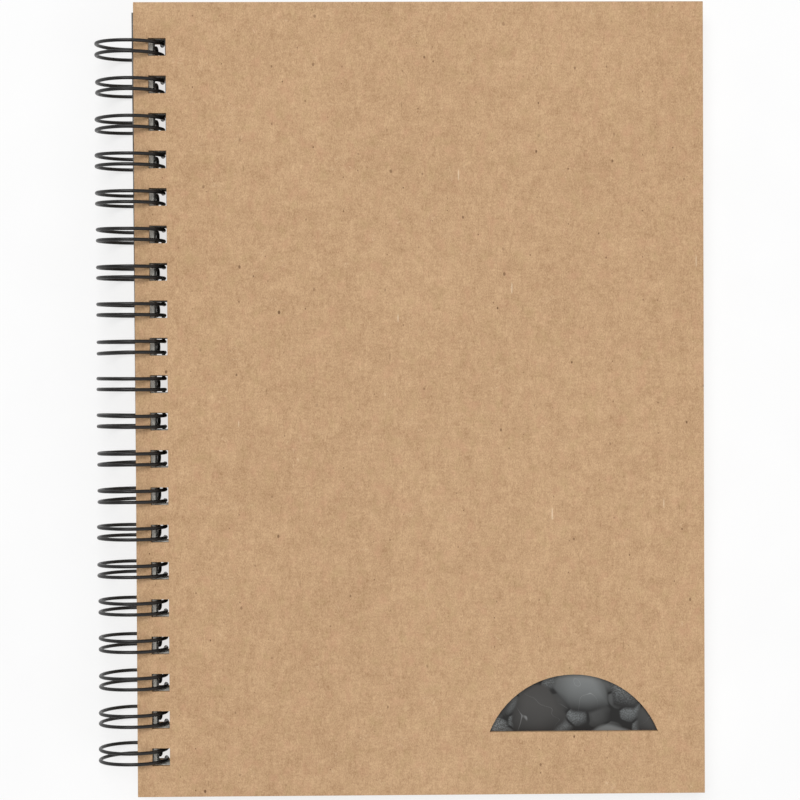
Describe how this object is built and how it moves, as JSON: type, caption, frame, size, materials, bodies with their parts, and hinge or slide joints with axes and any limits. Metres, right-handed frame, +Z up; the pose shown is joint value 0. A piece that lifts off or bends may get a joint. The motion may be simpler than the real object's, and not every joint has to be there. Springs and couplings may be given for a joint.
{
  "type": "wire-bound sketchbook",
  "caption": "Closed kraft-board sketchbook on a black twin-loop wire, with a cut-out window in its front cover over a dark pebble-printed card and a block of sketching leaves.",
  "frame": {"origin": "middle of the footprint of the closed book, on the table it lies on", "axes": "+X from the spine to the fore-edge, +Y along the spine to the head, +Z up, out of the front cover"},
  "size_m": [0.1384, 0.18, 0.016],
  "materials": {
    "kraft_board": "matt recycled kraft board with fine fibre flecks",
    "drawing_paper": "matt heavy drawing paper, natural white",
    "printed_card": "satin card printed all over with dark rounded pebbles",
    "black_wire": "satin black nylon-coated steel wire"
  },
  "bodies": {
    "binding": {"binding_wire": "black_wire", "back_cover": "kraft_board"},
    "printed_sheet": {"printed_sheet": "printed_card"},
    "front_cover": {"front_cover": "kraft_board"},
    "leaf_01": {"leaf_01": "drawing_paper"},
    "leaf_02": {"leaf_02": "drawing_paper"},
    "leaf_03": {"leaf_03": "drawing_paper"},
    "leaf_04": {"leaf_04": "drawing_paper"},
    "leaf_05": {"leaf_05": "drawing_paper"},
    "leaf_06": {"leaf_06": "drawing_paper"},
    "leaf_07": {"leaf_07": "drawing_paper"},
    "leaf_08": {"leaf_08": "drawing_paper"},
    "leaf_09": {"leaf_09": "drawing_paper"},
    "leaf_10": {"leaf_10": "drawing_paper"},
    "leaf_11": {"leaf_11": "drawing_paper"},
    "leaf_12": {"leaf_12": "drawing_paper"},
    "leaf_13": {"leaf_13": "drawing_paper"},
    "leaf_14": {"leaf_14": "drawing_paper"},
    "leaf_15": {"leaf_15": "drawing_paper"},
    "leaf_16": {"leaf_16": "drawing_paper"},
    "leaf_17": {"leaf_17": "drawing_paper"},
    "leaf_18": {"leaf_18": "drawing_paper"},
    "leaf_19": {"leaf_19": "drawing_paper"},
    "leaf_20": {"leaf_20": "drawing_paper"},
    "leaf_21": {"leaf_21": "drawing_paper"},
    "leaf_22": {"leaf_22": "drawing_paper"},
    "leaf_23": {"leaf_23": "drawing_paper"},
    "leaf_24": {"leaf_24": "drawing_paper"},
    "leaf_25": {"leaf_25": "drawing_paper"},
    "leaf_26": {"leaf_26": "drawing_paper"},
    "leaf_27": {"leaf_27": "drawing_paper"},
    "leaf_28": {"leaf_28": "drawing_paper"},
    "leaf_29": {"leaf_29": "drawing_paper"},
    "leaf_30": {"leaf_30": "drawing_paper"},
    "leaf_31": {"leaf_31": "drawing_paper"},
    "leaf_32": {"leaf_32": "drawing_paper"},
    "leaf_33": {"leaf_33": "drawing_paper"},
    "leaf_34": {"leaf_34": "drawing_paper"},
    "leaf_35": {"leaf_35": "drawing_paper"},
    "leaf_36": {"leaf_36": "drawing_paper"},
    "leaf_37": {"leaf_37": "drawing_paper"},
    "leaf_38": {"leaf_38": "drawing_paper"},
    "leaf_39": {"leaf_39": "drawing_paper"},
    "leaf_40": {"leaf_40": "drawing_paper"},
    "leaf_41": {"leaf_41": "drawing_paper"},
    "leaf_42": {"leaf_42": "drawing_paper"},
    "leaf_43": {"leaf_43": "drawing_paper"},
    "leaf_44": {"leaf_44": "drawing_paper"},
    "leaf_45": {"leaf_45": "drawing_paper"},
    "leaf_46": {"leaf_46": "drawing_paper"},
    "leaf_47": {"leaf_47": "drawing_paper"},
    "leaf_48": {"leaf_48": "drawing_paper"},
    "leaf_49": {"leaf_49": "drawing_paper"},
    "leaf_50": {"leaf_50": "drawing_paper"}
  },
  "joints": [
    {"name": "leaf_fan", "type": "hinge", "parent": "binding", "child": "printed_sheet", "pos_m": [-0.06122, 0, 0.008], "axis": [0, -1, 0], "range_deg": [0, 8]},
    {"name": "front_cover_hinge", "type": "hinge", "parent": "printed_sheet", "child": "front_cover", "pos_m": [-0.06122, 0, 0.008], "axis": [0, -1, 0], "range_deg": [0, 174.9]},
    {"name": "leaf_01_hinge", "type": "hinge", "parent": "binding", "child": "leaf_01", "pos_m": [-0.06122, 0, 0.008], "axis": [0, -1, 0], "range_deg": [0, 7.84]},
    {"name": "leaf_02_hinge", "type": "hinge", "parent": "binding", "child": "leaf_02", "pos_m": [-0.06122, 0, 0.008], "axis": [0, -1, 0], "range_deg": [0, 7.69]},
    {"name": "leaf_03_hinge", "type": "hinge", "parent": "binding", "child": "leaf_03", "pos_m": [-0.06122, 0, 0.008], "axis": [0, -1, 0], "range_deg": [0, 7.53]},
    {"name": "leaf_04_hinge", "type": "hinge", "parent": "binding", "child": "leaf_04", "pos_m": [-0.06122, 0, 0.008], "axis": [0, -1, 0], "range_deg": [0, 7.38]},
    {"name": "leaf_05_hinge", "type": "hinge", "parent": "binding", "child": "leaf_05", "pos_m": [-0.06122, 0, 0.008], "axis": [0, -1, 0], "range_deg": [0, 7.22]},
    {"name": "leaf_06_hinge", "type": "hinge", "parent": "binding", "child": "leaf_06", "pos_m": [-0.06122, 0, 0.008], "axis": [0, -1, 0], "range_deg": [0, 7.06]},
    {"name": "leaf_07_hinge", "type": "hinge", "parent": "binding", "child": "leaf_07", "pos_m": [-0.06122, 0, 0.008], "axis": [0, -1, 0], "range_deg": [0, 6.9]},
    {"name": "leaf_08_hinge", "type": "hinge", "parent": "binding", "child": "leaf_08", "pos_m": [-0.06122, 0, 0.008], "axis": [0, -1, 0], "range_deg": [0, 6.75]},
    {"name": "leaf_09_hinge", "type": "hinge", "parent": "binding", "child": "leaf_09", "pos_m": [-0.06122, 0, 0.008], "axis": [0, -1, 0], "range_deg": [0, 6.59]},
    {"name": "leaf_10_hinge", "type": "hinge", "parent": "binding", "child": "leaf_10", "pos_m": [-0.06122, 0, 0.008], "axis": [0, -1, 0], "range_deg": [0, 6.43]},
    {"name": "leaf_11_hinge", "type": "hinge", "parent": "binding", "child": "leaf_11", "pos_m": [-0.06122, 0, 0.008], "axis": [0, -1, 0], "range_deg": [0, 6.28]},
    {"name": "leaf_12_hinge", "type": "hinge", "parent": "binding", "child": "leaf_12", "pos_m": [-0.06122, 0, 0.008], "axis": [0, -1, 0], "range_deg": [0, 6.12]},
    {"name": "leaf_13_hinge", "type": "hinge", "parent": "binding", "child": "leaf_13", "pos_m": [-0.06122, 0, 0.008], "axis": [0, -1, 0], "range_deg": [0, 5.96]},
    {"name": "leaf_14_hinge", "type": "hinge", "parent": "binding", "child": "leaf_14", "pos_m": [-0.06122, 0, 0.008], "axis": [0, -1, 0], "range_deg": [0, 5.81]},
    {"name": "leaf_15_hinge", "type": "hinge", "parent": "binding", "child": "leaf_15", "pos_m": [-0.06122, 0, 0.008], "axis": [0, -1, 0], "range_deg": [0, 5.65]},
    {"name": "leaf_16_hinge", "type": "hinge", "parent": "binding", "child": "leaf_16", "pos_m": [-0.06122, 0, 0.008], "axis": [0, -1, 0], "range_deg": [0, 5.49]},
    {"name": "leaf_17_hinge", "type": "hinge", "parent": "binding", "child": "leaf_17", "pos_m": [-0.06122, 0, 0.008], "axis": [0, -1, 0], "range_deg": [0, 5.33]},
    {"name": "leaf_18_hinge", "type": "hinge", "parent": "binding", "child": "leaf_18", "pos_m": [-0.06122, 0, 0.008], "axis": [0, -1, 0], "range_deg": [0, 5.18]},
    {"name": "leaf_19_hinge", "type": "hinge", "parent": "binding", "child": "leaf_19", "pos_m": [-0.06122, 0, 0.008], "axis": [0, -1, 0], "range_deg": [0, 5.02]},
    {"name": "leaf_20_hinge", "type": "hinge", "parent": "binding", "child": "leaf_20", "pos_m": [-0.06122, 0, 0.008], "axis": [0, -1, 0], "range_deg": [0, 4.87]},
    {"name": "leaf_21_hinge", "type": "hinge", "parent": "binding", "child": "leaf_21", "pos_m": [-0.06122, 0, 0.008], "axis": [0, -1, 0], "range_deg": [0, 4.71]},
    {"name": "leaf_22_hinge", "type": "hinge", "parent": "binding", "child": "leaf_22", "pos_m": [-0.06122, 0, 0.008], "axis": [0, -1, 0], "range_deg": [0, 4.55]},
    {"name": "leaf_23_hinge", "type": "hinge", "parent": "binding", "child": "leaf_23", "pos_m": [-0.06122, 0, 0.008], "axis": [0, -1, 0], "range_deg": [0, 4.39]},
    {"name": "leaf_24_hinge", "type": "hinge", "parent": "binding", "child": "leaf_24", "pos_m": [-0.06122, 0, 0.008], "axis": [0, -1, 0], "range_deg": [0, 4.24]},
    {"name": "leaf_25_hinge", "type": "hinge", "parent": "binding", "child": "leaf_25", "pos_m": [-0.06122, 0, 0.008], "axis": [0, -1, 0], "range_deg": [0, 4.08]},
    {"name": "leaf_26_hinge", "type": "hinge", "parent": "binding", "child": "leaf_26", "pos_m": [-0.06122, 0, 0.008], "axis": [0, -1, 0], "range_deg": [0, 3.92]},
    {"name": "leaf_27_hinge", "type": "hinge", "parent": "binding", "child": "leaf_27", "pos_m": [-0.06122, 0, 0.008], "axis": [0, -1, 0], "range_deg": [0, 3.77]},
    {"name": "leaf_28_hinge", "type": "hinge", "parent": "binding", "child": "leaf_28", "pos_m": [-0.06122, 0, 0.008], "axis": [0, -1, 0], "range_deg": [0, 3.61]},
    {"name": "leaf_29_hinge", "type": "hinge", "parent": "binding", "child": "leaf_29", "pos_m": [-0.06122, 0, 0.008], "axis": [0, -1, 0], "range_deg": [0, 3.45]},
    {"name": "leaf_30_hinge", "type": "hinge", "parent": "binding", "child": "leaf_30", "pos_m": [-0.06122, 0, 0.008], "axis": [0, -1, 0], "range_deg": [0, 3.3]},
    {"name": "leaf_31_hinge", "type": "hinge", "parent": "binding", "child": "leaf_31", "pos_m": [-0.06122, 0, 0.008], "axis": [0, -1, 0], "range_deg": [0, 3.14]},
    {"name": "leaf_32_hinge", "type": "hinge", "parent": "binding", "child": "leaf_32", "pos_m": [-0.06122, 0, 0.008], "axis": [0, -1, 0], "range_deg": [0, 2.98]},
    {"name": "leaf_33_hinge", "type": "hinge", "parent": "binding", "child": "leaf_33", "pos_m": [-0.06122, 0, 0.008], "axis": [0, -1, 0], "range_deg": [0, 2.83]},
    {"name": "leaf_34_hinge", "type": "hinge", "parent": "binding", "child": "leaf_34", "pos_m": [-0.06122, 0, 0.008], "axis": [0, -1, 0], "range_deg": [0, 2.67]},
    {"name": "leaf_35_hinge", "type": "hinge", "parent": "binding", "child": "leaf_35", "pos_m": [-0.06122, 0, 0.008], "axis": [0, -1, 0], "range_deg": [0, 2.51]},
    {"name": "leaf_36_hinge", "type": "hinge", "parent": "binding", "child": "leaf_36", "pos_m": [-0.06122, 0, 0.008], "axis": [0, -1, 0], "range_deg": [0, 2.35]},
    {"name": "leaf_37_hinge", "type": "hinge", "parent": "binding", "child": "leaf_37", "pos_m": [-0.06122, 0, 0.008], "axis": [0, -1, 0], "range_deg": [0, 2.2]},
    {"name": "leaf_38_hinge", "type": "hinge", "parent": "binding", "child": "leaf_38", "pos_m": [-0.06122, 0, 0.008], "axis": [0, -1, 0], "range_deg": [0, 2.04]},
    {"name": "leaf_39_hinge", "type": "hinge", "parent": "binding", "child": "leaf_39", "pos_m": [-0.06122, 0, 0.008], "axis": [0, -1, 0], "range_deg": [0, 1.88]},
    {"name": "leaf_40_hinge", "type": "hinge", "parent": "binding", "child": "leaf_40", "pos_m": [-0.06122, 0, 0.008], "axis": [0, -1, 0], "range_deg": [0, 1.73]},
    {"name": "leaf_41_hinge", "type": "hinge", "parent": "binding", "child": "leaf_41", "pos_m": [-0.06122, 0, 0.008], "axis": [0, -1, 0], "range_deg": [0, 1.57]},
    {"name": "leaf_42_hinge", "type": "hinge", "parent": "binding", "child": "leaf_42", "pos_m": [-0.06122, 0, 0.008], "axis": [0, -1, 0], "range_deg": [0, 1.41]},
    {"name": "leaf_43_hinge", "type": "hinge", "parent": "binding", "child": "leaf_43", "pos_m": [-0.06122, 0, 0.008], "axis": [0, -1, 0], "range_deg": [0, 1.26]},
    {"name": "leaf_44_hinge", "type": "hinge", "parent": "binding", "child": "leaf_44", "pos_m": [-0.06122, 0, 0.008], "axis": [0, -1, 0], "range_deg": [0, 1.1]},
    {"name": "leaf_45_hinge", "type": "hinge", "parent": "binding", "child": "leaf_45", "pos_m": [-0.06122, 0, 0.008], "axis": [0, -1, 0], "range_deg": [0, 0.943]},
    {"name": "leaf_46_hinge", "type": "hinge", "parent": "binding", "child": "leaf_46", "pos_m": [-0.06122, 0, 0.008], "axis": [0, -1, 0], "range_deg": [0, 0.786]},
    {"name": "leaf_47_hinge", "type": "hinge", "parent": "binding", "child": "leaf_47", "pos_m": [-0.06122, 0, 0.008], "axis": [0, -1, 0], "range_deg": [0, 0.629]},
    {"name": "leaf_48_hinge", "type": "hinge", "parent": "binding", "child": "leaf_48", "pos_m": [-0.06122, 0, 0.008], "axis": [0, -1, 0], "range_deg": [0, 0.473]},
    {"name": "leaf_49_hinge", "type": "hinge", "parent": "binding", "child": "leaf_49", "pos_m": [-0.06122, 0, 0.008], "axis": [0, -1, 0], "range_deg": [0, 0.316]},
    {"name": "leaf_50_hinge", "type": "hinge", "parent": "binding", "child": "leaf_50", "pos_m": [-0.06122, 0, 0.008], "axis": [0, -1, 0], "range_deg": [0, 0.159]}
  ],
  "couplings": [
    {"joint": "leaf_01_hinge", "follows": "leaf_fan", "ratio": 0.98039},
    {"joint": "leaf_02_hinge", "follows": "leaf_fan", "ratio": 0.96078},
    {"joint": "leaf_03_hinge", "follows": "leaf_fan", "ratio": 0.94118},
    {"joint": "leaf_04_hinge", "follows": "leaf_fan", "ratio": 0.92157},
    {"joint": "leaf_05_hinge", "follows": "leaf_fan", "ratio": 0.90196},
    {"joint": "leaf_06_hinge", "follows": "leaf_fan", "ratio": 0.88235},
    {"joint": "leaf_07_hinge", "follows": "leaf_fan", "ratio": 0.86275},
    {"joint": "leaf_08_hinge", "follows": "leaf_fan", "ratio": 0.84314},
    {"joint": "leaf_09_hinge", "follows": "leaf_fan", "ratio": 0.82353},
    {"joint": "leaf_10_hinge", "follows": "leaf_fan", "ratio": 0.80392},
    {"joint": "leaf_11_hinge", "follows": "leaf_fan", "ratio": 0.78431},
    {"joint": "leaf_12_hinge", "follows": "leaf_fan", "ratio": 0.76471},
    {"joint": "leaf_13_hinge", "follows": "leaf_fan", "ratio": 0.7451},
    {"joint": "leaf_14_hinge", "follows": "leaf_fan", "ratio": 0.72549},
    {"joint": "leaf_15_hinge", "follows": "leaf_fan", "ratio": 0.70588},
    {"joint": "leaf_16_hinge", "follows": "leaf_fan", "ratio": 0.68627},
    {"joint": "leaf_17_hinge", "follows": "leaf_fan", "ratio": 0.66667},
    {"joint": "leaf_18_hinge", "follows": "leaf_fan", "ratio": 0.64706},
    {"joint": "leaf_19_hinge", "follows": "leaf_fan", "ratio": 0.62745},
    {"joint": "leaf_20_hinge", "follows": "leaf_fan", "ratio": 0.60784},
    {"joint": "leaf_21_hinge", "follows": "leaf_fan", "ratio": 0.58824},
    {"joint": "leaf_22_hinge", "follows": "leaf_fan", "ratio": 0.56863},
    {"joint": "leaf_23_hinge", "follows": "leaf_fan", "ratio": 0.54902},
    {"joint": "leaf_24_hinge", "follows": "leaf_fan", "ratio": 0.52941},
    {"joint": "leaf_25_hinge", "follows": "leaf_fan", "ratio": 0.5098},
    {"joint": "leaf_26_hinge", "follows": "leaf_fan", "ratio": 0.4902},
    {"joint": "leaf_27_hinge", "follows": "leaf_fan", "ratio": 0.47059},
    {"joint": "leaf_28_hinge", "follows": "leaf_fan", "ratio": 0.45098},
    {"joint": "leaf_29_hinge", "follows": "leaf_fan", "ratio": 0.43137},
    {"joint": "leaf_30_hinge", "follows": "leaf_fan", "ratio": 0.41176},
    {"joint": "leaf_31_hinge", "follows": "leaf_fan", "ratio": 0.39216},
    {"joint": "leaf_32_hinge", "follows": "leaf_fan", "ratio": 0.37255},
    {"joint": "leaf_33_hinge", "follows": "leaf_fan", "ratio": 0.35294},
    {"joint": "leaf_34_hinge", "follows": "leaf_fan", "ratio": 0.33333},
    {"joint": "leaf_35_hinge", "follows": "leaf_fan", "ratio": 0.31373},
    {"joint": "leaf_36_hinge", "follows": "leaf_fan", "ratio": 0.29412},
    {"joint": "leaf_37_hinge", "follows": "leaf_fan", "ratio": 0.27451},
    {"joint": "leaf_38_hinge", "follows": "leaf_fan", "ratio": 0.2549},
    {"joint": "leaf_39_hinge", "follows": "leaf_fan", "ratio": 0.23529},
    {"joint": "leaf_40_hinge", "follows": "leaf_fan", "ratio": 0.21569},
    {"joint": "leaf_41_hinge", "follows": "leaf_fan", "ratio": 0.19608},
    {"joint": "leaf_42_hinge", "follows": "leaf_fan", "ratio": 0.17647},
    {"joint": "leaf_43_hinge", "follows": "leaf_fan", "ratio": 0.15686},
    {"joint": "leaf_44_hinge", "follows": "leaf_fan", "ratio": 0.13725},
    {"joint": "leaf_45_hinge", "follows": "leaf_fan", "ratio": 0.11765},
    {"joint": "leaf_46_hinge", "follows": "leaf_fan", "ratio": 0.09804},
    {"joint": "leaf_47_hinge", "follows": "leaf_fan", "ratio": 0.07843},
    {"joint": "leaf_48_hinge", "follows": "leaf_fan", "ratio": 0.05882},
    {"joint": "leaf_49_hinge", "follows": "leaf_fan", "ratio": 0.03922},
    {"joint": "leaf_50_hinge", "follows": "leaf_fan", "ratio": 0.01961}
  ]
}
